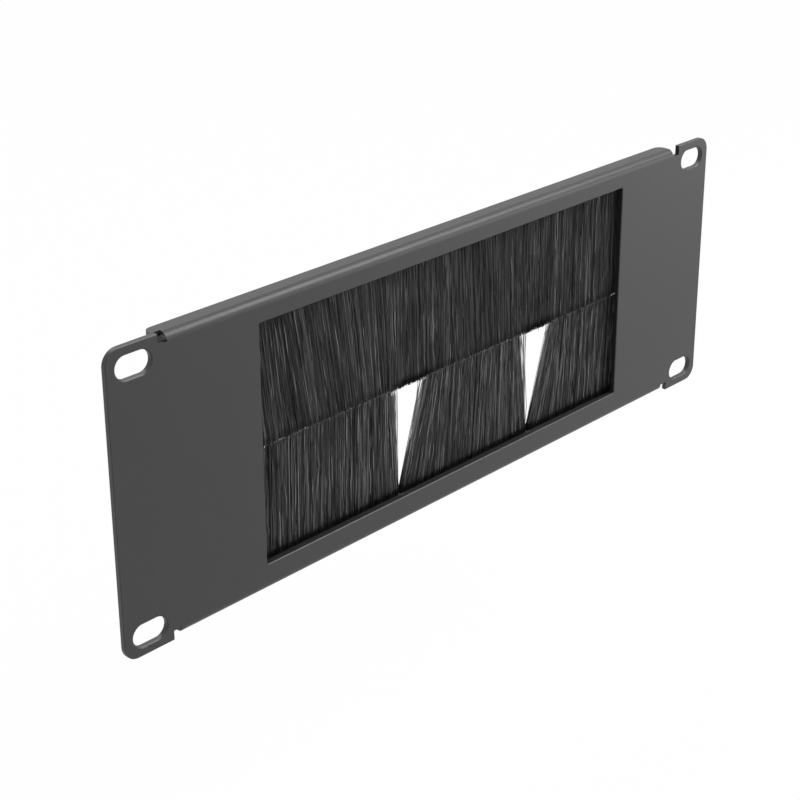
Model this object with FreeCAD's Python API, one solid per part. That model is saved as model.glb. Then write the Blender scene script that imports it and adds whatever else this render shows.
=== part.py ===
import FreeCAD, Part
import math
import os

from FreeCAD import Vector

# Brush strip panel for a 10-inch rack, two units high, in millimetres. A folded steel face plate
# has a window, and two strip brushes, one above and one below it, close it with their bristles.
# Each brush slides into a folded carrier rail that is nutted to weld studs on the plate's back.
# +X runs along the panel, +Y to its back and +Z up. The origin is the middle of the four rack
# slots, on the back of the ears, which is the face that meets the rack's rails.

# face plate
panel_width = 254.0
panel_height = 88.1
sheet = 1.5
ear_width = 16.4
ear_corner_radius = 4.5
front_edge_break = 0.2
slot_edge_break = 0.4

# flanges folded back along the top and the bottom
flange_depth = 6.2
flange_drop = 0.65
bend_inside_radius = 0.8
relief_width = 3.1
relief_depth = 1.3
flange_run_on = 3.0
flange_corner_radius = 2.6

# rack slots, from the ends and the edges of the ears
slot_from_side = 8.7375
slot_from_edge = 5.95
slot_length = 11.3
slot_width = 6.5

# strip brushes
bristle_thickness = 3.0
channel_wall = 1.0
channel_depth = 3.0
wire_diameter = 1.0
wire_clearance = 0.02
root_wrap = 0.5

# bristles, drawn as tufts that hang from the channel, split and ragged at their tips
seam_below_middle = 3.6
tip_overlap = 3.0
tip_gap = 0.3
tip_spread = 0.3
tuft_pitch = 1.9
tuft_groove = 0.5
tuft_split = 1.2
tuft_ragged = 0.4
sway = 0.8
sway_wavelength = 74.0

# partings in the lower bristles, open at their tips: how far each stands from the window's middle
# and how far the bristles to its left and to its right lean away at their tips
parting_root_gap = 2.4
left_parting = -20.6
left_parting_leans = (2.0, 11.6)
right_parting = 38.8
right_parting_leans = (4.1, 10.0)
parting_sweep = 1.6

# carrier rails, with a tab for a stud on each side of the window
carrier_sheet = 1.5
carrier_inside_radius = 0.8
rail_from_ears = 5.0
brush_overlap = 4.0
carrier_rear_shorter = 2.2
channel_clearance = 0.1
upper_mouth_setback = 0.2
lower_mouth_setback = 1.4
upper_rail_gap = 0.4
lower_rail_gap = 0.6
tab_from_brush = 2.0
tab_length = 13.0
tab_height = 10.0
tab_corner_radius = 2.0
stud_hole_clearance = 0.15

# window, from the inner ends of the ears; the rails set its top and bottom
window_from_left_ear = 33.9
window_from_right_ear = 30.1
window_corner_radius = 0.5

# weld studs, washers and nuts, size M3
stud_diameter = 3.0
stud_flange_diameter = 4.5
stud_flange_height = 0.7
stud_spare = 1.4
stud_chamfer = 0.4
washer_diameter = 7.0
washer_thickness = 0.5
washer_clearance = 0.1
nut_across_flats = 5.5
nut_height = 2.4
nut_chamfer_angle = 30.0
thread_clearance = 0.02

# places that follow from the sizes
over = 1.0
front = -sheet
back = 0.0
half_width = panel_width / 2
half_height = panel_height / 2
ear_inner = half_width - ear_width
flange_end_x = ear_inner - relief_width
bend_outside_radius = bend_inside_radius + sheet
flange_outside_z = half_height - flange_drop
flange_inside_z = flange_outside_z - sheet
bend_z = flange_outside_z - bend_outside_radius
flange_end_y = front + flange_depth
slot_x = half_width - slot_from_side
slot_z = half_height - slot_from_edge
channel_width = bristle_thickness + 2 * channel_wall
carrier_depth = channel_width + 2 * (channel_clearance + carrier_sheet)
carrier_height = channel_depth + channel_clearance + carrier_sheet
brush_y = back + carrier_depth / 2
wire_z = channel_depth - channel_wall - root_wrap - wire_diameter / 2
window_left = -ear_inner + window_from_left_ear
window_right = ear_inner - window_from_right_ear
upper_mouth_z = flange_inside_z - upper_rail_gap - carrier_height
lower_mouth_z = -flange_inside_z + lower_rail_gap + carrier_height
window_top = upper_mouth_z - upper_mouth_setback
window_bottom = lower_mouth_z + lower_mouth_setback
window_middle = (window_left + window_right) / 2
seam_z = (window_top + window_bottom) / 2 - seam_below_middle
brush_half = (window_right - window_left) / 2 + brush_overlap
rail_left = -ear_inner + rail_from_ears - window_middle
rail_right = ear_inner - rail_from_ears - window_middle
stud_x = brush_half + tab_from_brush + tab_length / 2
stud_length = carrier_sheet + washer_thickness + nut_height + stud_spare
ears = [(sx, sz) for sx in (-1, 1) for sz in (-1, 1)]
partings = [(left_parting, left_parting_leans), (right_parting, right_parting_leans)]


def box(x0, x1, y0, y1, z0, z1):
    return Part.makeBox(x1 - x0, y1 - y0, z1 - z0, Vector(x0, y0, z0))


def prism(profile, x0, x1):
    # A closed outline in the YZ plane carried along X. A step of the outline is a point (y, z), or
    # a pair of points, the middle and the end of an arc.
    at = [Vector(x0, *profile[0])]
    edges = []
    for step in profile[1:] + [profile[0]]:
        if isinstance(step[0], tuple):
            middle, end = (Vector(x0, *p) for p in step)
            edges.append(Part.Arc(at[-1], middle, end).toShape())
        else:
            end = Vector(x0, *step)
            edges.append(Part.makeLine(at[-1], end))
        at.append(end)
    return Part.Face(Part.Wire(edges)).extrude(Vector(x1 - x0, 0, 0))


def on_circle(centre, radius, degrees):
    angle = math.radians(degrees)
    return (centre[0] + radius * math.cos(angle), centre[1] + radius * math.sin(angle))


def corner_arc(centre, radius, start, end):
    # the middle and the end of an arc round a corner, for an outline
    return (on_circle(centre, radius, (start + end) / 2), on_circle(centre, radius, end))


def turned(profile, x, z):
    # a profile of (radius, y) points turned about a line along Y through x and z
    outline = Part.makePolygon([Vector(r, y, 0) for r, y in profile + [profile[0]]])
    solid = Part.Face(outline).revolve(Vector(0, 0, 0), Vector(0, 1, 0), 360)
    return solid.translated(Vector(x, 0, z))


def pin_cutter(radius, x, z, y0, y1):
    return Part.makeCylinder(radius, y1 - y0, Vector(x, y0, z), Vector(0, 1, 0))


def rounded_corners(shape, radius, corners, axis):
    # Fillets the straight edges along one axis, 0 to 2 for X to Z, that pass through the corners,
    # which are given by their two other coordinates.
    def passes(edge, corner):
        for vertex in edge.Vertexes:
            flat = [c for i, c in enumerate(vertex.Point) if i != axis]
            if max(abs(a - b) for a, b in zip(flat, corner)) > 1e-4:
                return False
        return len(edge.Vertexes) == 2

    chosen = [e for e in shape.Edges if any(passes(e, c) for c in corners)]
    return shape.makeFillet(radius, chosen)


def top_flange():
    centre = (front + bend_outside_radius, bend_z)
    profile = [
        (front, bend_z),
        corner_arc(centre, bend_outside_radius, 180, 90),
        (flange_end_y, flange_outside_z),
        (flange_end_y, flange_inside_z),
        (centre[0], flange_inside_z),
        corner_arc(centre, bend_inside_radius, 90, 180),
    ]
    # The left end runs on behind the relief, and the right end stops at it.
    left = -flange_end_x - flange_run_on
    flange = prism(profile, left, flange_end_x)
    radius = min(flange_corner_radius, 0.95 * (flange_depth - bend_outside_radius))
    flange = rounded_corners(flange, radius, [(left, flange_end_y), (flange_end_x, flange_end_y)], 2)
    relief = box(left - over, -flange_end_x, front - over, back + relief_depth,
                 bend_z - over, half_height + over)
    return flange.cut(relief)


def rack_slot(x, z):
    straight = slot_length / 2 - slot_width / 2
    ends = [pin_cutter(slot_width / 2, x + side * straight, z, front - over, back + over)
            for side in (-1, 1)]
    middle = box(x - straight, x + straight, front - over, back + over,
                 z - slot_width / 2, z + slot_width / 2)
    return middle.fuse(ends).removeSplitter()


def window_cutter():
    cutter = box(window_left, window_right, front - over, back + over, window_bottom, window_top)
    corners = [(x, z) for x in (window_left, window_right) for z in (window_bottom, window_top)]
    return rounded_corners(cutter, window_corner_radius, corners, 1)


def with_broken_edges(plate):
    # The cut edges of the front are eased, the slots' more than the others, but not the bends and
    # the reliefs beside them.
    def is_at(edge, slots):
        if any(abs(v.Y - front) > 1e-4 for v in edge.Vertexes):
            return False
        x, z = abs(edge.CenterOfMass.x), abs(edge.CenterOfMass.z)
        at_relief = x < ear_inner + 1e-3 and z > bend_z - 1e-3
        at_slot = abs(x - slot_x) < slot_length / 2 and abs(z - slot_z) < slot_width / 2 + 1e-3
        return at_slot == slots and not at_relief

    plate = plate.makeChamfer(front_edge_break, [e for e in plate.Edges if is_at(e, False)])
    return plate.makeChamfer(slot_edge_break, [e for e in plate.Edges if is_at(e, True)])


def face_plate():
    blank = box(-half_width, half_width, front, back, -half_height, half_height)
    blank = rounded_corners(blank, ear_corner_radius,
                            [(sx * half_width, sz * half_height) for sx, sz in ears], 1)
    for z0, z1 in ((bend_z, half_height + over), (-half_height - over, -bend_z)):
        blank = blank.cut(box(-ear_inner, ear_inner, front - over, back + over, z0, z1))
    flange = top_flange()
    blank = blank.fuse([flange, flange.mirror(Vector(0, 0, 0), Vector(0, 0, 1))]).removeSplitter()
    cutters = [rack_slot(sx * slot_x, sz * slot_z) for sx, sz in ears]
    return with_broken_edges(blank.cut([window_cutter()] + cutters))


# A brush and its rail are made once, with the channel's mouth at z = 0 and the bristles hanging
# from it. The upper one is moved to the window's top edge, the lower one turned over below.

def placed(shape, upper):
    if upper:
        return shape.translated(Vector(window_middle, 0, upper_mouth_z))
    lower = shape.mirror(Vector(0, 0, 0), Vector(0, 0, 1))
    return lower.translated(Vector(window_middle, 0, lower_mouth_z))


def carrier():
    outside = carrier_inside_radius + carrier_sheet
    inside_top = carrier_height - carrier_sheet
    front_bend = (back + outside, carrier_height - outside)
    rear_bend = (back + carrier_depth - outside, carrier_height - outside)
    profile = [
        (back, 0),
        (back, front_bend[1]),
        corner_arc(front_bend, outside, 180, 90),
        (rear_bend[0], carrier_height),
        corner_arc(rear_bend, outside, 90, 0),
        (back + carrier_depth, carrier_rear_shorter),
        (back + carrier_depth - carrier_sheet, carrier_rear_shorter),
        (back + carrier_depth - carrier_sheet, rear_bend[1]),
        corner_arc(rear_bend, carrier_inside_radius, 0, 90),
        (front_bend[0], inside_top),
        corner_arc(front_bend, carrier_inside_radius, 90, 180),
        (back + carrier_sheet, 0),
    ]
    rail = prism(profile, rail_left, rail_right)
    tabs = []
    for x in (-stud_x, stud_x):
        sides = (x - tab_length / 2, x + tab_length / 2)
        tab = box(*sides, back, back + carrier_sheet, -tab_height, over)
        tab = rounded_corners(tab, tab_corner_radius, [(side, -tab_height) for side in sides], 1)
        hole_radius = stud_flange_diameter / 2 + stud_hole_clearance
        tabs.append(tab.cut(pin_cutter(hole_radius, x, -tab_height / 2,
                                       back - over, back + carrier_sheet + over)))
    return rail.fuse(tabs).removeSplitter()


def folded_bar(width, depth, x0, x1):
    # a bar along X, flat at z = 0 and round on top, such as the folded roots of the bristles
    radius = width / 2
    centre = (brush_y, depth - radius)
    profile = [
        (brush_y - radius, 0),
        (brush_y - radius, centre[1]),
        corner_arc(centre, radius, 180, 0),
        (brush_y + radius, 0),
    ]
    return prism(profile, x0, x1)


def channel():
    outer = folded_bar(channel_width, channel_depth, -brush_half, brush_half)
    roots = folded_bar(bristle_thickness, channel_depth - channel_wall, -brush_half, brush_half)
    return outer.cut(roots)


def core_wire(radius, x0, x1):
    return Part.makeCylinder(radius, x1 - x0, Vector(x0, brush_y, wire_z), Vector(1, 0, 0))


def reach(upper):
    # from the channel's mouth to the seam where the two brushes meet
    return upper_mouth_z - seam_z if upper else seam_z - lower_mouth_z


def swept(x, upper):
    # how far along X the tips stand from their roots: a slow sway, and a sweep off each parting
    shift = sway * math.sin(2 * math.pi * x / sway_wavelength)
    for place, leans in [] if upper else partings:
        side, lean = (-1, leans[0]) if x < place else (1, leans[1])
        away = abs(x - place) - parting_root_gap / 2
        shift += side * lean * math.exp(-away / (parting_sweep * lean))
    return shift


def uneven(number):
    # an uneven value from 0 to 1 that is the same for the same tuft
    return 0.5 + 0.5 * math.sin(12.99 * number + 1.7) * math.cos(4.14 * number)


def tuft_rows(x0, x1, upper):
    # The lines that run down the bristles, two for each tuft: a crest, then a groove between it
    # and the next. Each row is front root, front tip, rear tip and rear root.
    count = max(1, round((x1 - x0) / tuft_pitch))
    step = (x1 - x0) / count / 2
    phase = 0 if upper else 7
    rows = []
    for i in range(2 * count + 1):
        x = x0 + i * step
        crest = i % 2 == 1
        shorter = tuft_ragged * uneven(i + phase)
        half = bristle_thickness / 2
        if not crest:
            shorter += tuft_split * uneven(2 * i + phase)
            half -= tuft_groove
        tip_x = x + swept(x, upper)
        tip_z = shorter - reach(upper) - tip_overlap / 2
        tip_half = half + tip_spread
        rows.append([Vector(x, brush_y - half, 0), Vector(tip_x, brush_y - tip_half, tip_z),
                     Vector(tip_x, brush_y + tip_half, tip_z), Vector(x, brush_y + half, 0)])
    return rows


def tuft_curtain(x0, x1, upper):
    rows = tuft_rows(x0, x1, upper)
    outlines = [rows[0], rows[-1], [r[0] for r in rows] + [r[3] for r in reversed(rows)]]
    for a, b in zip(rows[:-1], rows[1:]):
        outlines.append([a[1], b[1], b[2], a[2]])
        for k, tip in ((0, 1), (3, 2)):
            outlines.append([a[k], b[k], b[tip]])
            outlines.append([a[k], b[tip], a[tip]])
    faces = [Part.Face(Part.makePolygon(points + [points[0]])) for points in outlines]
    curtain = Part.Solid(Part.Shell(faces))
    if curtain.Volume < 0:
        curtain.reverse()
    return curtain


def scarf_cutter(upper):
    # The tips are scarfed, so that the brushes lap and no light comes between them. This slanted
    # block clears the front of the upper tips, or the rear of the lower ones.
    way = -1 if upper else 1
    half = bristle_thickness / 2 + tip_spread
    slope = tip_overlap / (2 * half)
    far = half + over
    line = tip_gap / 2 - reach(upper)
    low = line - slope * far - over
    profile = [
        (brush_y + way * far, line + slope * far),
        (brush_y + way * far, low),
        (brush_y - way * far, low),
        (brush_y - way * far, line - slope * far),
    ]
    end = brush_half + reach(upper)
    return prism(profile, -end, end)


def bristles(upper):
    places = [] if upper else [place for place, leans in partings]
    starts = [-brush_half] + [place + parting_root_gap / 2 for place in places]
    ends = [place - parting_root_gap / 2 for place in places] + [brush_half]
    tufts = [tuft_curtain(x0, x1, upper).cut(scarf_cutter(upper)) for x0, x1 in zip(starts, ends)]
    roots = folded_bar(bristle_thickness, channel_depth - channel_wall, -brush_half, brush_half)
    bore = core_wire(wire_diameter / 2 + wire_clearance, -brush_half - over, brush_half + over)
    return roots.fuse(tufts).cut(bore)


def stud(x, z):
    tip = back + stud_length
    radius = stud_diameter / 2
    return turned([(0, back), (stud_flange_diameter / 2, back),
                   (stud_flange_diameter / 2, back + stud_flange_height),
                   (radius, back + stud_flange_height), (radius, tip - stud_chamfer),
                   (radius - stud_chamfer, tip), (0, tip)], x, z)


def washer(x, z):
    seat = back + carrier_sheet
    bore = stud_diameter / 2 + washer_clearance
    rim = washer_diameter / 2
    return turned([(bore, seat), (rim, seat), (rim, seat + washer_thickness),
                   (bore, seat + washer_thickness)], x, z)


def nut(x, z):
    seat = back + carrier_sheet + washer_thickness
    end = seat + nut_height
    corner = nut_across_flats / math.sqrt(3)
    flat = nut_across_flats / 2
    rise = (corner - flat) * math.tan(math.radians(nut_chamfer_angle))
    bore = stud_diameter / 2 + thread_clearance
    blank = turned([(bore, seat), (flat, seat), (corner, seat + rise), (corner, end - rise),
                    (flat, end), (bore, end)], x, z)
    ring = [Vector(x + px, seat, z + pz) for px, pz in
            (on_circle((0, 0), corner, 60 * i) for i in range(7))]
    return blank.common(Part.Face(Part.makePolygon(ring)).extrude(Vector(0, nut_height, 0)))


def on_studs(make):
    pieces = []
    for upper in (True, False):
        level = placed(Part.Vertex(0, 0, -tab_height / 2), upper).Z
        pieces += [make(window_middle + side * stud_x, level) for side in (-1, 1)]
    return Part.makeCompound(pieces)


def main():
    parts = {"face_plate": face_plate()}
    for name, upper in (("upper", True), ("lower", False)):
        parts[name + "_carrier_rail"] = placed(carrier(), upper)
        parts[name + "_brush_channel"] = placed(channel(), upper)
        parts[name + "_core_wire"] = placed(core_wire(wire_diameter / 2, -brush_half, brush_half), upper)
        parts[name + "_bristles"] = placed(bristles(upper), upper)
    parts["weld_studs"] = on_studs(stud)
    parts["flat_washers"] = on_studs(washer)
    parts["hex_nuts"] = on_studs(nut)

    os.makedirs("parts", exist_ok=True)
    for name, shape in parts.items():
        shape.exportStep("parts/" + name + ".step")
        print(name, "solids", len(shape.Solids), "valid", shape.isValid(), "volume", round(shape.Volume, 2))
    print("window", window_left, window_right, window_bottom, window_top)
    print("studs", [tuple(round(c, 3) for c in s.BoundBox.Center) for s in parts["weld_studs"].Solids])


main()
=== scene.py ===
import math

import bpy
import numpy as np
from mathutils import Matrix, Vector


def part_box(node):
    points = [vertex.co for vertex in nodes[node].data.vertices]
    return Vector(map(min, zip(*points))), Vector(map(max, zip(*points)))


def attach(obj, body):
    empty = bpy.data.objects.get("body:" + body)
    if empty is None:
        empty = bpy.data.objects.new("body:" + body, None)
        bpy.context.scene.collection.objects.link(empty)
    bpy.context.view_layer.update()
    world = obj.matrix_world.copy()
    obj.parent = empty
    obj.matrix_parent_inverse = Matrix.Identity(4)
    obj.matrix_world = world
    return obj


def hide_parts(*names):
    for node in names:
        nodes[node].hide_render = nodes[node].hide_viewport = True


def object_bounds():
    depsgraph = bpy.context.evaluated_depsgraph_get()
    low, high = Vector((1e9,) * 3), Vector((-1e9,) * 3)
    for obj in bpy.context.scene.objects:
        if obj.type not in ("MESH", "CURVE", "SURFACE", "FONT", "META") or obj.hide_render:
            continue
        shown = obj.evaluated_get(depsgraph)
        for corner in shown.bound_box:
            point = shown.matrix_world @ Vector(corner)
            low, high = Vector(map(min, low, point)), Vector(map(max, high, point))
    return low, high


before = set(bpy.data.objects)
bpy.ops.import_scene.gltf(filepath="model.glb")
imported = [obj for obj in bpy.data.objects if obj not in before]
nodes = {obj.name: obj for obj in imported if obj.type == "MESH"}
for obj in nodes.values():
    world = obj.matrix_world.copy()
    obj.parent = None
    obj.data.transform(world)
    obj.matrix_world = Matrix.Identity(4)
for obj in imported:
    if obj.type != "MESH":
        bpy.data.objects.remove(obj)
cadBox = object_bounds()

mm = 0.001


class Term:
    # a node socket that takes part in sums
    def __init__(self, tree, socket=None):
        self.tree = tree
        self.socket = socket

    def make(self, kind, settings=None, values=None, output=0):
        node = self.tree.nodes.new(kind)
        for name, setting in (settings or {}).items():
            if name == "stops":
                for number, (place, colour) in enumerate(setting):
                    stops = node.color_ramp.elements
                    stop = stops[number] if number < 2 else stops.new(place)
                    stop.position = place
                    stop.color = (*colour, 1.0)
            else:
                setattr(node, name, setting)
        for name, value in (values or {}).items():
            if isinstance(value, Term):
                self.tree.links.new(value.socket, node.inputs[name])
            else:
                node.inputs[name].default_value = value
        return Term(self.tree, node.outputs[output] if node.outputs else None)

    def sum(self, operation, *terms):
        return self.make("ShaderNodeMath", {"operation": operation}, dict(enumerate(terms)))

    def __add__(self, other):
        return self.sum("ADD", self, other)

    def __radd__(self, other):
        return self.sum("ADD", other, self)

    def __sub__(self, other):
        return self.sum("SUBTRACT", self, other)

    def __rsub__(self, other):
        return self.sum("SUBTRACT", other, self)

    def __mul__(self, other):
        return self.sum("MULTIPLY", self, other)

    def __rmul__(self, other):
        return self.sum("MULTIPLY", other, self)

    def above(self, level):
        return self.sum("GREATER_THAN", self, level)

    def below(self, level):
        return self.sum("LESS_THAN", self, level)

    def limited(self, low, high):
        return self.sum("MAXIMUM", self.sum("MINIMUM", self, high), low)

    def axis(self, name):
        return self.make("ShaderNodeSeparateXYZ", None, {"Vector": self}, name)

    def channel(self, name):
        return self.make("ShaderNodeSeparateColor", None, {"Color": self}, name)


def newFinish(name):
    finish = bpy.data.materials.new(name)
    finish.use_nodes = True
    finish.node_tree.nodes.clear()
    return finish, Term(finish.node_tree)


def objectPlace(start):
    return start.make("ShaderNodeTexCoord", output="Object")


def grain(start, place, cell, detail=3.0, roughness=0.6, stretch=None):
    # noise with cells that are cell metres wide, drawn out along the axes where stretch is small
    if stretch:
        place = start.make("ShaderNodeMapping", None, {"Vector": place, "Scale": stretch})
    return start.make("ShaderNodeTexNoise", None,
                      {"Vector": place, "Scale": 1 / cell, "Detail": detail, "Roughness": roughness})


def shades(start, factor, dark, light, low=0.3, high=0.7):
    return start.make("ShaderNodeValToRGB", {"stops": [(low, dark), (high, light)]}, {"Fac": factor})


def blended(start, factor, first, second):
    # a mix node's inputs share their names, so the factor and the two colours go by number
    return start.make("ShaderNodeMix", {"data_type": "RGBA"}, {0: factor, 6: first, 7: second}, 2)


def bumped(start, height, strength, depth):
    return start.make("ShaderNodeBump", None, {"Height": height, "Strength": strength, "Distance": depth})


def surface(start, **sockets):
    values = {name.replace("_", " "): value for name, value in sockets.items()}
    shader = start.make("ShaderNodeBsdfPrincipled", None, values)
    start.make("ShaderNodeOutputMaterial", None, {"Surface": shader})


def grey(shade, warm=0.0):
    return (shade * (1 + warm), shade, shade * (1 - warm))


# painted shade on the window's cut faces: where the mark reaches, and its near-black colour
windowEdge = {
    "overlap": 4.0 * mm,        # how far the brushes run on behind the plate beside the window
    "depth": 1.25 * mm,         # of the cut face, from the plate's back
    "reach": 0.06 * mm,
    "shade": 0.004,
}


def insideWindow(place):
    # 1 on the cut faces of the window, which get painted shade, and 0 on the rest of the plate
    upperLow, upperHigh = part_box("upper_brush_channel")
    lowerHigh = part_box("lower_brush_channel")[1]
    sides = (upperLow[0] + windowEdge["overlap"], upperHigh[0] - windowEdge["overlap"])
    levels = (lowerHigh[2], upperLow[2])
    inside = place.axis("Y").above(-windowEdge["depth"])
    for axis, (low, high) in (("X", sides), ("Z", levels)):
        along = place.axis(axis)
        inside = inside * along.above(low - windowEdge["reach"]) * along.below(high + windowEdge["reach"])
    return inside


coat = {
    "shine": 0.5,
    "warmth": 0.01,
    "toneCell": 55 * mm,        # slow changes of tone
    "fleckCell": 0.35 * mm,     # the grain of the powder
    "peelCell": 1.6 * mm,       # a faint orange peel
    "fleckShare": 0.3,
    "peelGloss": 0.10,
    "toneGloss": 0.08,
    "fleckRise": 0.55,
    "bump": 0.16,
    "bumpDepth": 0.05 * mm,
}


def powderCoat(name, dark, light, gloss, paintedShadeEdge=None):
    # matt powder coat, with painted shade on the faces that the edge mask marks
    finish, start = newFinish(name)
    place = objectPlace(start)
    tone = grain(start, place, coat["toneCell"], 2.0)
    fleck = grain(start, place, coat["fleckCell"], 2.0)
    peel = grain(start, place, coat["peelCell"], 2.0, 0.5)
    spread = (1 - coat["fleckShare"]) * tone + coat["fleckShare"] * fleck
    colour = shades(start, spread, grey(dark, coat["warmth"]), grey(light, coat["warmth"]))
    rough = gloss + coat["peelGloss"] * (peel - 0.5) + coat["toneGloss"] * (tone - 0.5)
    # painted shade: the marked faces are near-black and fully rough
    if paintedShadeEdge:
        inEdge = paintedShadeEdge(place)
        colour = blended(start, inEdge, colour, (*grey(windowEdge["shade"]), 1.0))
        rough = rough * (1 - inEdge) + inEdge
    surface(start,
            Base_Color=colour,
            Roughness=rough,
            Specular_IOR_Level=coat["shine"],
            Normal=bumped(start, coat["fleckRise"] * fleck + peel, coat["bump"], coat["bumpDepth"]))
    return finish


steel = {
    "lineCell": 0.12 * mm,
    "lineStretch": 0.04,        # along the lines
    "cloudCell": 3.5 * mm,
    "cloudGloss": 0.18,
    "lineGloss": 0.12,
    "bump": 0.25,
    "bumpDepth": 0.02 * mm,
}


def drawnSteel(name, dark, light, gloss, along):
    # bare or plated steel with fine lines along one axis and a cloudy plating
    finish, start = newFinish(name)
    place = objectPlace(start)
    stretch = tuple(steel["lineStretch"] if axis == along else 1.0 for axis in range(3))
    lines = grain(start, place, steel["lineCell"], 3.0, 0.6, stretch)
    cloud = grain(start, place, steel["cloudCell"], 4.0)
    surface(start,
            Base_Color=shades(start, 0.5 * lines + 0.5 * cloud, grey(dark, -0.01), grey(light, -0.02)),
            Metallic=1.0,
            Roughness=gloss + steel["cloudGloss"] * (cloud - 0.5) + steel["lineGloss"] * (lines - 0.5),
            Normal=bumped(start, lines, steel["bump"], steel["bumpDepth"]))
    return finish


thread = {
    "pitch": 0.5 * mm,
    "bare": 0.75 * mm,      # no thread below this height over the plate
    "cloudCell": 1.2 * mm,
    "cloudShare": 0.4,
    # root and crest are the colours of the painted shade in the thread's grooves and of its crests
    "root": 0.22,
    "crest": 0.55,
    "gloss": 0.34,
    "cloudGloss": 0.16,
    "bump": 0.9,
    "depth": 0.18 * mm,
}


def threadedSteel(name):
    finish, start = newFinish(name)
    place = objectPlace(start)
    height = place.axis("Y")
    ridge = start.sum("PINGPONG", height, thread["pitch"] / 2) * (2 / thread["pitch"])
    cut = ridge * height.above(thread["bare"])
    cloud = grain(start, place, thread["cloudCell"], 3.0)
    # painted shade: dark in the thread's grooves and on the bare shank below it, light on the crests
    spread = thread["cloudShare"] * cloud + (1 - thread["cloudShare"]) * cut
    surface(start,
            Base_Color=shades(start, spread, grey(thread["root"]), grey(thread["crest"], -0.02), 0.1, 0.8),
            Metallic=1.0,
            Roughness=thread["gloss"] + thread["cloudGloss"] * (cloud - 0.5),
            Normal=bumped(start, cut, thread["bump"], thread["depth"]))
    return finish


nylon = {
    # root is the colour of the painted shade at the roots, at the upper tips and beside the partings
    "root": (0.0015, 0.0015, 0.0015),
    "dark": (0.012, 0.012, 0.0122),
    "middle": (0.072, 0.072, 0.0725),
    "light": (0.30, 0.30, 0.299),
    # tip is the colour of the painted highlight on the cut ends and of the painted light in loose and fringe
    # bristles
    "tip": (0.34, 0.34, 0.335),
    "darkUntil": 0.12,
    "middleAt": 0.62,
    "lightFrom": 0.98,
    "streakCell": 0.9 * mm,
    "streakStretch": 0.06,      # along the bristles
    "streakShare": 0.25,
    "sheen": 0.5,               # how much smoother a bristle is in the light than at its dark root
    "streakGloss": 0.25,
    "shine": 0.25,
    "bump": 0.2,
    "bumpDepth": 0.05 * mm,
}


def bristleNylon():
    # The strand attribute holds each bristle's own shade, how far light reaches it, which gives the painted
    # shade, and the painted highlight and painted light at its ends and in loose bristles.
    finish, start = newFinish("bristleNylon")
    strand = start.make("ShaderNodeAttribute", {"attribute_name": "strand"}, None, "Color")
    lit = strand.channel("Green")
    place = objectPlace(start)
    streak = grain(start, place, nylon["streakCell"], 2.0, 0.5, (1.0, 1.0, nylon["streakStretch"]))
    tone = (1 - nylon["streakShare"]) * strand.channel("Red") + nylon["streakShare"] * streak
    # a ramp has two stops to begin with, and the middle one is added to them
    stops = [(nylon["darkUntil"], nylon["dark"]), (nylon["lightFrom"], nylon["light"]),
             (nylon["middleAt"], nylon["middle"])]
    body = start.make("ShaderNodeValToRGB", {"stops": stops}, {"Fac": tone})
    highlighted = blended(start, strand.channel("Blue"), body, (*nylon["tip"], 1.0))
    surface(start,
            Base_Color=blended(start, lit, (*nylon["root"], 1.0), highlighted),
            Roughness=1 - nylon["sheen"] * lit + nylon["streakGloss"] * (streak - 0.5),
            Specular_IOR_Level=nylon["shine"],
            Normal=bumped(start, streak, nylon["bump"], nylon["bumpDepth"]))
    return finish


print("finishes")
plateCoat = powderCoat("plateCoat", 0.023, 0.028, 0.42, insideWindow)
railCoat = powderCoat("railCoat", 0.014, 0.020, 0.60)
channelCoat = powderCoat("channelCoat", 0.008, 0.012, 0.55)
wireSteel = drawnSteel("coreWireSteel", 0.30, 0.50, 0.38, 0)
bristleFinish = bristleNylon()
finishes = {
    "face_plate": plateCoat,
    "upper_carrier_rail": railCoat,
    "lower_carrier_rail": railCoat,
    "upper_brush_channel": channelCoat,
    "lower_brush_channel": channelCoat,
    "upper_core_wire": wireSteel,
    "lower_core_wire": wireSteel,
    "weld_studs": threadedSteel("studSteel"),
    "flat_washers": drawnSteel("washerZinc", 0.42, 0.66, 0.36, 0),
    "hex_nuts": drawnSteel("nutZinc", 0.40, 0.62, 0.33, 1),
}
for name, finish in finishes.items():
    for materialSlot in nodes[name].material_slots:
        materialSlot.material = finish


print("rail ends")
railEnd = {
    "sheet": 0.8 * mm,
    "inset": 0.05 * mm,
}


def closeRail(side):
    # a small tab over each end of a rail, which closes the view through the notches of the plate
    low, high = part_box(side + "_carrier_rail")
    channelLow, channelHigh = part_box(side + "_brush_channel")
    mouth = channelLow[2] if side == "upper" else channelHigh[2]
    web = high[2] if side == "upper" else low[2]
    tabs = []
    for end, way in ((low[0], 1), (high[0], -1)):
        bpy.ops.object.select_all(action="DESELECT")
        bpy.ops.mesh.primitive_cube_add(size=1.0)
        tab = bpy.context.object
        tab.scale = (railEnd["sheet"], high[1] - low[1] - 2 * railEnd["inset"],
                     abs(web - mouth) - railEnd["inset"])
        tab.location = (end + way * (railEnd["inset"] + railEnd["sheet"] / 2), (low[1] + high[1]) / 2,
                        (mouth + web) / 2)
        bpy.ops.object.transform_apply(location=True, rotation=True, scale=True)
        tabs.append(tab)
    for tab in tabs:
        tab.select_set(True)
    bpy.context.view_layer.objects.active = tabs[0]
    bpy.ops.object.join()
    tabs[0].name = side + "RailEnds"
    tabs[0].data.materials.append(railCoat)
    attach(tabs[0], "root")


closeRail("upper")
closeRail("lower")


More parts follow.
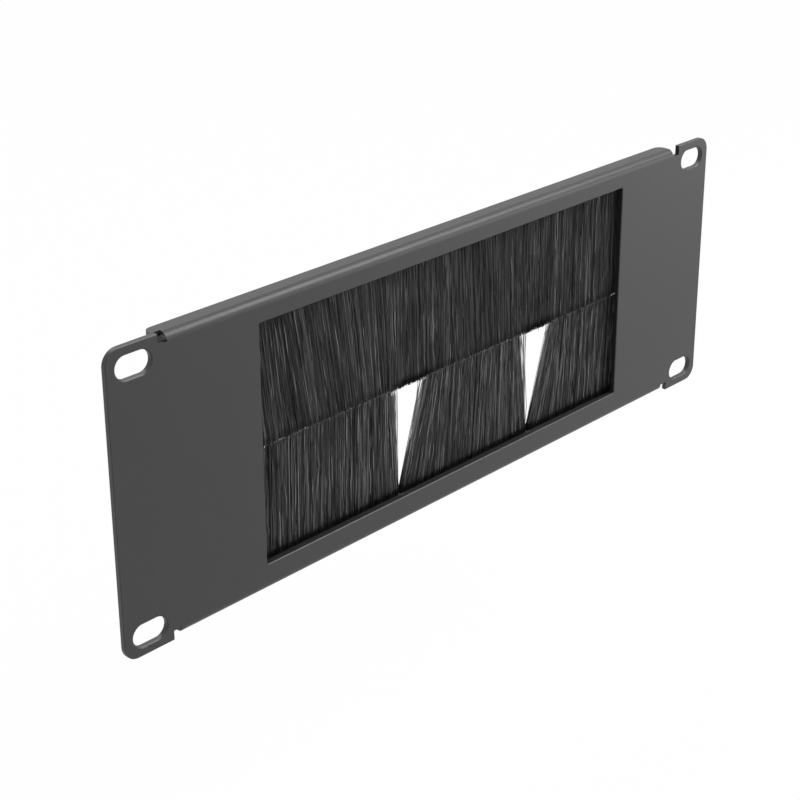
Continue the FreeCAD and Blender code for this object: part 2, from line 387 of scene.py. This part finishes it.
print("bristles")
bristle = {
    "radius": 0.13 * mm,
    "thickness": (0.7, 1.1),    # of single bristles, as a share
    "tipShare": 0.6,            # width of the tip as a share of the root's
    "tipFrom": 0.97,            # of the length
    "rooted": (0.5, 1.0),       # how deep they stand in the channel, as a share
}
bends = {
    "parts": ((1.1, 0.6), (2.3, 0.45), (3.6, 0.22)),    # bends along the length, and their share
    "pace": (0.8, 1.25),
    "size": (0.4, 1.4),
    "loose": 1.6,           # how much more the loose bristles wave
    "deep": 1.2,            # how much more all wave from front to back
    "stiffRoot": 6,         # the waves are full from a sixth of the length on
}
brush = {
    "thickness": 2.6 * mm,      # at the roots
    "spread": 1.22,             # how much thicker the brush is at its tips
    "rootDepth": 1.5 * mm,      # how far the bristles reach into the channel
    "lap": 3.0 * mm,            # of the scarfed tips, over the brush's thickness
    "tuftPitch": 1.9 * mm,
    "tuftDrift": (0.4, 9 * mm),     # of a tuft's pitch, and over what length
    "tuftPull": 0.22,           # how far the bristles of a tuft gather at the tips
    "sway": (0.8 * mm, 74 * mm),
    "wander": (0.5 * mm, 11 * mm),
    # lean of the upper bristles towards the right, where it has fallen to a half, and how fast
    "combed": ((0.10, -38 * mm, 8 * mm), (0.035, 35 * mm, 10 * mm)),
    "endRoom": 7 * mm,          # the left end of the upper brush stands upright
    "uneven": (0.10 * mm, 6 * mm),
    "ragged": 0.16 * mm,
    "long": (0.015, 0.2 * mm, 0.8 * mm),    # share of bristles that are too long, and by how much
    "fanCurve": 1.08,
}
look = {
    "shadeCurve": 1.6,          # most of the bristles are dark
    "bright": (0.65, 1.0),
    "upperShade": 0.88,
    "lowerShade": 1.12,
    "streaks": 0.18,
    "rootShade": (2.2 * mm, 3.3 * mm),      # painted shade over the roots: dark up to the first length, and fully lit from the second on
    "cutShare": 0.42,           # of the bristles get a painted highlight on the cut end
    # painted highlight on the cut ends, weaker on the upper brush, whose ends face down
    "cutHighlight": (0.2, 0.85),
    "uncutHighlight": 0.03,
    "upperCutHighlight": 0.3,
    "upperTipShade": 0.3,
    "partingShade": 0.65,
    # painted light in the loose bristles, as if lit through the thin nylon
    "looseBacklight": 0.75,
    "tipRing": 0.99,
    "tipZone": 0.95,
    "rootZone": 0.2,
}
layers = {
    # the body of the brush, and the loose bristles that weave in and out of its front
    "Inner": {"count": 6000, "cuts": (0.066, 0.10, 0.93, 0.985), "wave": 0.10 * mm, "lean": 0.33 * mm,
              "front": 0.0, "shade": 0.70, "bright": 0.06},
    "Outer": {"count": 3100, "cuts": (0.066, 0.10, 0.28, 0.46, 0.64, 0.8, 0.93, 0.985), "wave": 0.20 * mm,
              "lean": 0.6 * mm, "front": 0.75, "shade": 0.85, "bright": 0.21},
}
parting = {
    "places": (-20.6 * mm, 38.8 * mm),      # from the window's middle
    "leans": ((3.8 * mm, 14.2 * mm), (6.4 * mm, 12.8 * mm)),
    "rootGap": 0.6 * mm,
    "rootCrowd": 0.8 * mm,      # how far the roots that the gap displaced crowd beside it
    "sweep": 0.85,
    "edge": 1.2 * mm,           # width of the frayed edge
    "fray": 0.4 * mm,
    "thinned": 0.45,            # of the brush's thickness, at the edge
    "strays": 0.22,             # share of the bristles at the edge that hang loose in the parting
    "strayZone": 1.5 * mm,
    "strayReach": (0.4 * mm, 4.0 * mm),
    "fringe": 0.6 * mm,         # width of the painted light at the edge of a parting
    "fringeBacklight": 0.35,
    "shadow": 9 * mm,           # how far from a parting the upper tips stand in its shadow
    "shadowTop": 1.5,
}


def modelBristle(length, cuts):
    # one bristle, hanging from the origin, that the brushes' bristles are copied from
    bpy.ops.object.select_all(action="DESELECT")
    bpy.ops.mesh.primitive_cylinder_add(vertices=3, radius=bristle["radius"], depth=length,
                                        location=(0, 0, -length / 2))
    one = bpy.context.object
    bpy.ops.object.transform_apply(location=True, rotation=True, scale=True)
    bpy.ops.object.mode_set(mode="EDIT")
    for share in cuts:
        bpy.ops.mesh.select_all(action="SELECT")
        bpy.ops.mesh.bisect(plane_co=(0, 0, -length * share), plane_no=(0, 0, 1))
    bpy.ops.object.mode_set(mode="OBJECT")
    corners = one.data.vertices
    for corner in corners:
        corner.select = corner.co.z < -length * bristle["tipFrom"]
    for group in (one.data.edges, one.data.polygons):
        for item in group:
            item.select = all(corners[number].select for number in item.vertices)
    bpy.ops.object.mode_set(mode="EDIT")
    bpy.ops.transform.resize(value=(bristle["tipShare"], bristle["tipShare"], 1.0),
                             center_override=(0, 0, -length))
    bpy.ops.object.mode_set(mode="OBJECT")
    return one


def slowNoise(values, length, dice, count=9):
    # a smooth uneven curve from a few waves, between about -1 and 1
    curve = np.zeros_like(values)
    for wave in range(count):
        pace = 2 * math.pi / length * (0.45 + 0.22 * wave)
        curve += np.sin(pace * values + dice.uniform(0, 2 * math.pi)) * dice.uniform(0.5, 1.0)
    return curve / math.sqrt(count)


def waves(share, size, dice):
    # each bristle's own bends along its length, none at the root
    total = len(size)
    curve = np.zeros((total, len(share)))
    for pace, part in bends["parts"]:
        start = dice.uniform(0, 2 * math.pi, total)[:, None]
        own = pace * dice.uniform(*bends["pace"], total)[:, None]
        curve += part * np.sin(2 * math.pi * own * share + start)
    return curve * size[:, None] * np.minimum(1, bends["stiffRoot"] * share)


def brushSite(side):
    # where a brush stands: its channel's mouth, and the seam where it meets the other
    low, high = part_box(side + "_brush_channel")
    upper = side == "upper"
    mouth = low[2] if upper else high[2]
    seam = (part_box("upper_bristles")[0][2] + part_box("lower_bristles")[1][2]) / 2
    return {
        "upper": upper,
        "way": 1 if upper else -1,
        "middle": ((low[0] + high[0]) / 2, (low[1] + high[1]) / 2),
        "halfLength": (high[0] - low[0]) / 2,
        "mouth": mouth,
        "reach": abs(mouth - seam),
    }


def plantRoots(site, layer, dice):
    # spread evenly with some chance, and kept out of the partings; across is -1 at the brush's front
    total, halfLength = layer["count"], site["halfLength"]
    x = (np.arange(total) + dice.uniform(0, 1, total)) / total * 2 * halfLength - halfLength
    x = np.clip(x, -halfLength + bristle["radius"], halfLength - bristle["radius"])
    if layer["front"]:
        across = -1 + layer["front"] * dice.uniform(0, 1, total) ** 1.5
    else:
        across = np.sin(dice.uniform(-0.5, 0.5, total) * math.pi)       # more of them near both faces
    if not site["upper"]:
        gap = parting["rootGap"] / 2
        for place in parting["places"]:
            near = np.abs(x - place) < gap
            crowd = dice.uniform(0, parting["rootCrowd"], near.sum())
            x[near] = place + np.sign(x[near] - place) * (gap + crowd)
    return x, across


def combTips(site, layer, x, dice):
    # how far the tips are gathered in tufts, swayed and combed along the brush
    drift, driftLength = brush["tuftDrift"]
    sway, swayLength = brush["sway"]
    wander, wanderLength = brush["wander"]
    tuft = np.round(x / brush["tuftPitch"] + drift * slowNoise(x, driftLength, dice))
    shift = (tuft * brush["tuftPitch"] - x) * brush["tuftPull"] * dice.uniform(0, 1, len(x))
    shift += sway * np.sin(2 * math.pi * x / swayLength)
    shift += wander * slowNoise(x, wanderLength, dice)
    shift += dice.normal(0, layer["lean"], len(x))
    if site["upper"]:
        fromEnd = 1 - np.exp(-(x + site["halfLength"]) / brush["endRoom"])
        for lean, until, fade in brush["combed"]:
            shift += lean * site["reach"] * fromEnd / (1 + np.exp((x - until) / fade))
    return shift


def partTips(site, x, dice):
    # the lower tips are swept off the partings, where a few stay loose, and the upper ones are shaded there
    total = len(x)
    tips = {
        "thin": np.ones(total),
        "swept": np.zeros(total),
        "loose": np.zeros(total, bool),
        "shadow": np.zeros(total),
        "backlight": np.zeros(total),
    }
    for place, leans in zip(parting["places"], parting["leans"]):
        away = x - place
        if site["upper"]:
            fromMiddle = np.abs(away - (leans[1] - leans[0]) / 2)
            shadow = np.clip(parting["shadowTop"] - fromMiddle / parting["shadow"], 0, 1)
            tips["shadow"] = np.maximum(tips["shadow"], shadow)
            continue
        sign = np.sign(away)
        lean = np.where(sign < 0, *leans)
        past = np.abs(away) - parting["rootGap"] / 2
        edge = np.exp(-past / parting["edge"])
        tips["swept"] += sign * lean * np.exp(-past / (parting["sweep"] * lean))
        tips["swept"] += edge * dice.normal(0, parting["fray"], total)
        tips["thin"] -= parting["thinned"] * edge
        stray = (dice.uniform(0, 1, total) < parting["strays"]) & (past < parting["strayZone"])
        tips["swept"] -= stray * sign * dice.uniform(*parting["strayReach"], total)
        tips["loose"] |= stray
        # painted light on the edge and loose bristles of a parting, as if lit through the thin nylon
        fringe = parting["fringeBacklight"] * np.exp(-past / parting["fringe"])
        tips["backlight"] = np.maximum(tips["backlight"], fringe)
    return tips


def tipLengths(site, x, across, dice):
    # the front of the lower tips stands over the front of the upper ones
    total = len(x)
    uneven, unevenLength = brush["uneven"]
    longShare, *tooLong = brush["long"]
    length = site["reach"] + site["way"] * across * brush["lap"] / 2
    length -= uneven * (1 + slowNoise(x, unevenLength, dice))
    length -= np.abs(dice.normal(0, 1, total)) * brush["ragged"]
    length += (dice.uniform(0, 1, total) < longShare) * dice.uniform(*tooLong, total)
    return length


def bendCopies(site, layer, roots, tips, points, share, rings, ringOf, dice):
    # the corners of all the copies of one bristle, turned, thinned, bent and set in the brush
    x, across, shift, length = (values[:, None] for values in roots)
    total = len(x)
    turn = dice.uniform(0, 2 * math.pi, total)[:, None]
    thick = dice.uniform(*bristle["thickness"], total)[:, None]
    wide = points[:, 0] * thick
    deep = points[:, 1] * thick
    size = layer["wave"] * dice.uniform(*bends["size"], total) * np.where(tips["loose"], bends["loose"], 1.0)
    waveX = waves(rings, size, dice)[:, ringOf]
    waveY = waves(rings, size * bends["deep"], dice)[:, ringOf]
    rise = brush["rootDepth"] * dice.uniform(*bristle["rooted"], total)[:, None]
    rootY = across * brush["thickness"] / 2
    tipY = rootY * brush["spread"]
    middleX, middleY = site["middle"]
    spots = np.empty((total, len(points), 3))
    spots[:, :, 0] = (middleX + x + shift * share ** brush["fanCurve"] + tips["swept"][:, None] * share
                      + waveX + wide * np.cos(turn) - deep * np.sin(turn))
    spots[:, :, 1] = (middleY + tips["thin"][:, None] * (rootY * (1 - share) + tipY * share) + waveY
                      + wide * np.sin(turn) + deep * np.cos(turn))
    spots[:, :, 2] = site["mouth"] + site["way"] * (rise * (1 - share) - length * share)
    return spots


def strandColours(site, layer, tips, share, rings, ringOf, dice):
    # red is a bristle's own shade, green how far light reaches it, for painted shade, and blue the painted
    # highlight of its cut end and the painted light of loose and fringe bristles
    total = layer["count"]
    upper = site["upper"]
    shade = layer["shade"] * dice.uniform(0, 1, total) ** look["shadeCurve"]
    bright = dice.uniform(0, 1, total) < layer["bright"]
    shade = np.where(bright, dice.uniform(*look["bright"], total), shade)
    shade *= look["upperShade"] if upper else look["lowerShade"]
    streaks = look["streaks"] * dice.normal(0, 1, (total, len(rings)))[:, ringOf]
    dull, clear = look["rootShade"]
    lit = np.clip((share * site["reach"] - dull) / (clear - dull), 0, 1)
    tipShade = look["upperTipShade"] * upper + look["partingShade"] * tips["shadow"][:, None]
    # painted highlight on the cut ends that face the light
    isCut = dice.uniform(0, 1, total) < look["cutShare"]
    cutEndHighlight = np.where(isCut, dice.uniform(*look["cutHighlight"], total), look["uncutHighlight"])
    if upper:
        cutEndHighlight *= look["upperCutHighlight"]
    # painted light in the loose and fringe bristles
    backlight = np.maximum(tips["backlight"], look["looseBacklight"] * tips["loose"])
    colours = np.ones((total, len(share), 4))
    colours[:, :, 0] = np.clip(shade[:, None] + streaks, 0, 1)
    colours[:, :, 1] = lit * (1 - tipShade * (share > look["tipZone"]))
    colours[:, :, 2] = cutEndHighlight[:, None] * (share > look["tipRing"])
    colours[:, :, 2] += backlight[:, None] * (share > look["rootZone"])
    return colours


def layBristles(side, layerName, seed):
    layer = layers[layerName]
    dice = np.random.default_rng(seed)
    site = brushSite(side)
    x, across = plantRoots(site, layer, dice)
    shift = combTips(site, layer, x, dice)
    tips = partTips(site, x, dice)
    length = tipLengths(site, x, across, dice)

    one = modelBristle(site["reach"], layer["cuts"])
    points = np.array([corner.co for corner in one.data.vertices])
    faces = [tuple(face.vertices) for face in one.data.polygons]
    bpy.data.objects.remove(one)
    share = np.clip(-points[:, 2] / site["reach"], 0, 1)
    rings, ringOf = np.unique(np.round(share, 3), return_inverse=True)
    spots = bendCopies(site, layer, (x, across, shift, length), tips, points, share, rings, ringOf, dice)

    everyFace = []
    for first in range(0, len(spots) * len(points), len(points)):
        for face in faces:
            corners = [first + corner for corner in face]
            everyFace.append(corners if site["upper"] else corners[::-1])
    name = side + layerName + "Bristles"
    mesh = bpy.data.meshes.new(name)
    mesh.from_pydata(spots.reshape(-1, 3).tolist(), [], everyFace)
    colours = strandColours(site, layer, tips, share, rings, ringOf, dice)
    strand = mesh.attributes.new("strand", "FLOAT_COLOR", "POINT")
    strand.data.foreach_set("color", colours.ravel())
    mesh.materials.append(bristleFinish)
    piece = bpy.data.objects.new(name, mesh)
    bpy.context.collection.objects.link(piece)
    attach(piece, "root")
    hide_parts(side + "_bristles")
    print(name, len(mesh.polygons))


layBristles("upper", "Inner", 11)
layBristles("upper", "Outer", 17)
layBristles("lower", "Inner", 23)
layBristles("lower", "Outer", 29)


print("studio")
studio = {
    "floorDrop": 80 * mm,       # the panel is held by its rack, clear of the floor
    "floorSize": 14.0,
    "floorTone": (0.86, 0.86, 0.86),
    "floorPatch": 0.97,         # the darker patches of the floor, as a share of its tone
    "patchCell": 0.4,
    "floorRough": 0.8,
    "floorGlow": 0.98,          # share of plain white that the camera sees in the floor
    "air": 0.20,                # light from all round
    "softboxes": (
        # place, aimed at, size, watts
        ((-0.9, -1.0, 1.0), (0, 0, 0), 1.1, 1.6),
        ((0.62, -0.50, 0.02), (0, 0, 0), 0.4, 1.3),
        ((0.44, -0.40, 0.70), (-0.05, 0, 0.04), 0.6, 7.4),
        ((0.2, 1.0, 1.5), (0, 0, 0), 1.0, 12.0),
    ),
}


def seenRays(start):
    # 1 for the rays that the camera sends, straight, mirrored or through something, and 0 for the light's
    kinds = ("Is Camera Ray", "Is Glossy Ray", "Is Transmission Ray")
    straight, mirrored, through = (start.make("ShaderNodeLightPath", output=kind) for kind in kinds)
    return straight + mirrored + through


def layFloor():
    finish, start = newFinish("paleFloor")
    tone = grain(start, objectPlace(start), studio["patchCell"], 2.0)
    patch = tuple(studio["floorPatch"] * part for part in studio["floorTone"])
    diffuse = start.make("ShaderNodeBsdfPrincipled", None,
                         {"Base Color": shades(start, tone, patch, studio["floorTone"]),
                          "Roughness": studio["floorRough"]})
    white = start.make("ShaderNodeEmission", None, {"Color": (1, 1, 1, 1), "Strength": 1.0})
    mixed = start.make("ShaderNodeMixShader", None,
                       {0: seenRays(start) * studio["floorGlow"], 1: diffuse, 2: white})
    start.make("ShaderNodeOutputMaterial", None, {"Surface": mixed})
    bpy.ops.object.select_all(action="DESELECT")
    bpy.ops.mesh.primitive_plane_add(size=studio["floorSize"],
                                     location=(0, 0, cadBox[0][2] - studio["floorDrop"]))
    floor = bpy.context.object
    floor.name = "paleFloor"
    bpy.ops.object.transform_apply(location=True, rotation=True, scale=True)
    floor.data.materials.append(finish)


def lightRoom():
    world = bpy.data.worlds.new("studioAir")
    world.use_nodes = True
    world.node_tree.nodes.clear()
    start = Term(world.node_tree)
    air = start.make("ShaderNodeBackground", None, {"Color": (1, 1, 1, 1), "Strength": studio["air"]})
    white = start.make("ShaderNodeBackground", None, {"Color": (1, 1, 1, 1), "Strength": 1.0})
    mixed = start.make("ShaderNodeMixShader", None, {0: seenRays(start).limited(0.0, 1.0), 1: air, 2: white})
    start.make("ShaderNodeOutputWorld", None, {"Surface": mixed})
    bpy.context.scene.world = world
    for number, (place, target, size, watts) in enumerate(studio["softboxes"]):
        lamp = bpy.data.lights.new("softbox" + str(number), "AREA")
        lamp.size = size
        lamp.energy = watts
        holder = bpy.data.objects.new(lamp.name, lamp)
        holder.location = place
        aim = Vector(target) - Vector(place)
        holder.rotation_euler = aim.to_track_quat("-Z", "Y").to_euler()
        bpy.context.collection.objects.link(holder)


camera = {
    "place": (-367.24 * mm, -329.15 * mm, 214.77 * mm),
    "turn": 46.39,          # degrees from +Y towards +X
    "down": 22.10,
    "roll": -0.226,
    "focal": 2.2516,        # as a share of the picture's width
    "sensor": 36.0,
    "shift": -0.1,          # the photograph's upright lines meet lower than an unshifted lens's
    "nearest": 0.01,
}


def placeCamera():
    turn, down, roll = (math.radians(camera[key]) for key in ("turn", "down", "roll"))
    ahead = Vector((math.sin(turn) * math.cos(down), math.cos(turn) * math.cos(down), -math.sin(down)))
    right = Vector((math.cos(turn), -math.sin(turn), 0.0))
    up = right.cross(ahead)
    rolledRight = math.cos(roll) * right + math.sin(roll) * up
    rolledUp = -math.sin(roll) * right + math.cos(roll) * up
    lens = bpy.data.cameras.new("photoCamera")
    lens.sensor_width = camera["sensor"]
    lens.lens = camera["focal"] * lens.sensor_width
    lens.shift_y = camera["shift"]
    lens.clip_start = camera["nearest"]
    holder = bpy.data.objects.new("photoCamera", lens)
    facing = Matrix((rolledRight, rolledUp, -ahead)).transposed()
    holder.matrix_world = Matrix.Translation(camera["place"]) @ facing.to_4x4()
    bpy.context.collection.objects.link(holder)
    bpy.context.scene.camera = holder


layFloor()
lightRoom()
placeCamera()
bpy.context.scene.view_settings.view_transform = "Standard"
